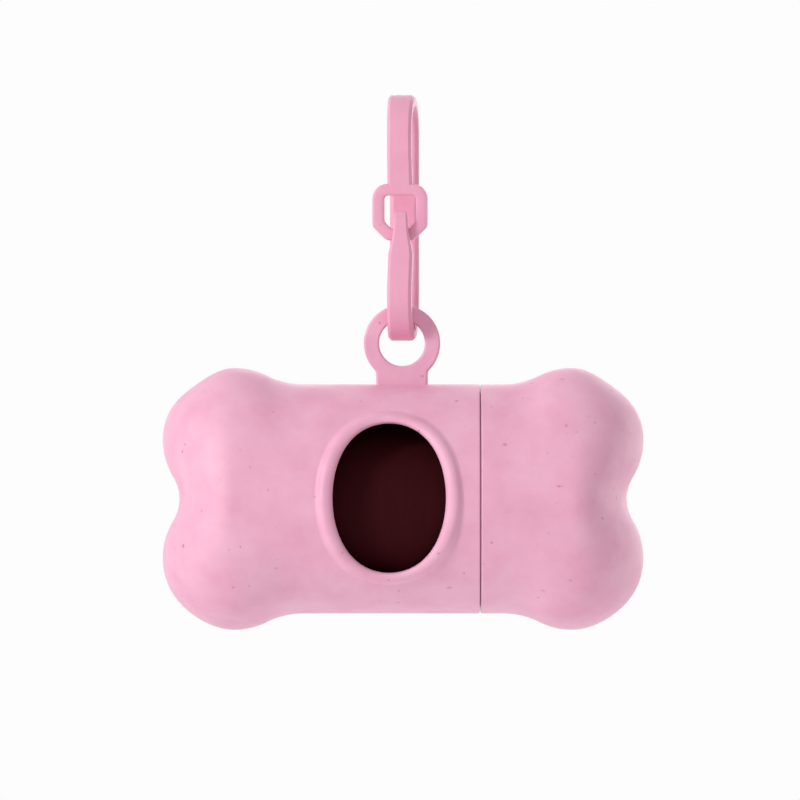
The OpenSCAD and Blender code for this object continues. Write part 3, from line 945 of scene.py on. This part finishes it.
# %% [markdown]
# ## Camera
# The photograph looks straight at the front, from far enough away that nothing seems to shrink with
# distance. So the camera stands two metres off, level with the middle of the picture, with a lens that
# takes in 138 mm there.

# %% Camera
VIEW_W, VIEW_X, VIEW_Z = 138.08 * MM, -0.345 * MM, -45.64 * MM
DISTANCE, SENSOR_W, FARTHEST = 2.0, 36, 20
camera_data = bpy.data.cameras.new("camera")
camera_data.sensor_width = SENSOR_W
camera_data.lens = SENSOR_W * DISTANCE / VIEW_W
camera_data.clip_end = FARTHEST
camera = bpy.data.objects.new("camera", camera_data)
camera.location = (VIEW_X, -DISTANCE, VIEW_Z)
camera.rotation_euler = (math.pi / 2, 0, 0)
bpy.context.scene.collection.objects.link(camera)
bpy.context.scene.camera = camera
print("lens", round(camera_data.lens, 1), "mm")

# %% [markdown]
# ## Floor and backdrop
# The object hangs, and the photograph's ground is plain white with no horizon. A floor rolls up into a
# backdrop in one smooth sheet: a plane, an edge of it spun up a quarter turn, and the wall pulled up from
# there. It lies well below the object, so that it can also be looked at from below.

# %% Floor sheet
METRE = 1000
FLOOR_HALF, FLOOR_Z, CURVE_Y, CURVE_R, WALL_H = 5.0, -0.85, 3.0, 0.8, 4.0


def paper_sweep(name):
    """A floor and a backdrop in one sheet of paper."""
    piece = primitive("plane", name, size=2, location=(0, 0, FLOOR_Z))
    edit(piece)
    size(x=FLOOR_HALF, y=FLOOR_HALF)
    shift(y=(CURVE_Y - FLOOR_HALF) * METRE)
    pick("EDGE", lambda p, e: p.y > (CURVE_Y - 0.01) * METRE)
    bpy.ops.mesh.spin(steps=12, angle=-math.pi / 2, center=(0, CURVE_Y, FLOOR_Z + CURVE_R), axis=(1, 0, 0))
    pull(z=WALL_H * METRE)
    face_out()
    done(piece)
    activate(piece)
    bpy.ops.object.shade_smooth()
    return piece


floor = paper_sweep("floor")

# %% [markdown]
# ## Backdrop paper
# To the camera the sheet is plain white. More light would also do that, but it would bleach the object,
# so the paper glows instead, for what is seen straight, in a shine or through glass. Other light gets a
# little less of the glow and the rest from the paper. Right under the object the glow is halved, so the
# paper can hold its shadow.

# %% Paper
WHITE = 0.98                            # how bright the background is seen
NEAR_GLOW, FLOOR_BOUNCE = 0.5, 0.82     # the glow's share under the object, and in light that isn't seen
NEAR, FAR = 0.15, 0.7                   # in metres from the middle, between which the glow rises


def seen_directly(tree, otherwise, then):
    """One value for what is seen, straight, in a shine or through glass, and one for all other light."""
    path = add(tree, "ShaderNodeLightPath").outputs
    shine = add(tree, "ShaderNodeMath", [(0, path["Is Camera Ray"]), (1, path["Is Glossy Ray"])],
                operation="MAXIMUM")
    either = add(tree, "ShaderNodeMath", [(0, shine.outputs["Value"]), (1, path["Is Transmission Ray"])],
                 operation="MAXIMUM")
    return add(tree, "ShaderNodeMapRange", [("Value", either.outputs["Value"]), ("To Min", otherwise),
                                            ("To Max", then)]).outputs["Result"]


def pale_paper(name, colour):
    """Matt white paper that glows for the camera."""
    material, tree, shader, place = blank(name)
    tooth = add(tree, "ShaderNodeTexNoise", [("Vector", place), ("Scale", per_mm(2)), ("Detail", 3.0)])
    bump = add(tree, "ShaderNodeBump", [("Height", tooth.outputs["Fac"]), ("Distance", 0.05 * MM),
                                        ("Strength", 0.2)])
    tree.links.new(bump.outputs["Normal"], shader.inputs["Normal"])
    shader.inputs["Base Color"].default_value = linear(colour)
    shader.inputs["Roughness"].default_value = 0.9
    level = add(tree, "ShaderNodeMapping", [("Vector", place), ("Scale", (1, 1, 0))])
    away = add(tree, "ShaderNodeVectorMath", [(0, level.outputs["Vector"])], operation="LENGTH")
    far = add(tree, "ShaderNodeMapRange", [("Value", away.outputs["Value"]), ("From Min", NEAR),
                                           ("From Max", FAR), ("To Min", NEAR_GLOW), ("To Max", 1.0)],
              interpolation_type="SMOOTHSTEP")
    share = add(tree, "ShaderNodeMath", [(0, far.outputs["Result"]),
                                         (1, seen_directly(tree, FLOOR_BOUNCE, 1.0))], operation="MULTIPLY")
    glow = add(tree, "ShaderNodeEmission", [("Color", (1, 1, 1, 1)), ("Strength", WHITE)])
    seen = add(tree, "ShaderNodeMixShader", [("Fac", share.outputs["Value"]), (1, shader.outputs["BSDF"]),
                                             (2, glow.outputs["Emission"])])
    tree.links.new(seen.outputs["Shader"], tree.nodes["Material Output"].inputs["Surface"])
    return material


wear(floor, pale_paper("pale_backdrop_paper", "#F6F6F5"))
print("the background is seen at", WHITE, "of white")

# %% [markdown]
# ## Light
# The lamps' weights come from rendering each one alone and fitting their sum to the photograph. The
# strongest is a fairly small one at the front left, above, which throws the clip's short shadows on the
# ring and the lug. A large one fills from the left, a weak one lifts the right edge and one lights the
# back. The room's white walls, its brighter ceiling and the floor do the rest. A colour renders about as
# it is written on a surface that faces the camera, so the object looks right under other light too.

# %% Lamps and room
def soft_box(name, place, aim, width, height, power):
    """A lamp with its sides in metres and its power in watts, turned towards a point."""
    lamp = bpy.data.lights.new(name, "AREA")
    lamp.shape, lamp.size, lamp.size_y, lamp.energy = "RECTANGLE", width, height, power
    thing = bpy.data.objects.new(name, lamp)
    thing.location = place
    thing.rotation_euler = (Vector(aim) - Vector(place)).to_track_quat("-Z", "Y").to_euler()
    bpy.context.scene.collection.objects.link(thing)
    return thing


MIDDLE = (0, 0, -0.05)
soft_box("front", (-0.71, -0.6, 0.32), MIDDLE, 0.2, 0.2, 4.6)
soft_box("side", (-1.0, -0.42, -0.03), MIDDLE, 0.7, 0.7, 2.0)
soft_box("edge", (0.8, 0.5, 0.0), MIDDLE, 0.5, 0.5, 1.15)
soft_box("back", (0.3, 1.15, 0.25), MIDDLE, 0.8, 0.8, 3.0)

CEILING_FROM, WALLS, CEILING = 0.3, 0.31, 0.88      # height of the light's direction, and strengths
world = bpy.data.worlds.new("white_room")
world.use_nodes = True
bpy.context.scene.world = world
tree = world.node_tree
sky = tree.nodes["Background"]
sky.inputs["Color"].default_value = (1, 1, 1, 1)
heading = add(tree, "ShaderNodeTexCoord").outputs["Generated"]
direction = add(tree, "ShaderNodeSeparateXYZ", [("Vector", heading)])
room = add(tree, "ShaderNodeMapRange", [("Value", direction.outputs["Z"]), ("From Min", CEILING_FROM),
                                        ("From Max", 1.0), ("To Min", WALLS), ("To Max", CEILING)])
tree.links.new(seen_directly(tree, room.outputs["Result"], WHITE), sky.inputs["Strength"])
bpy.context.scene.view_settings.view_transform = "Standard"
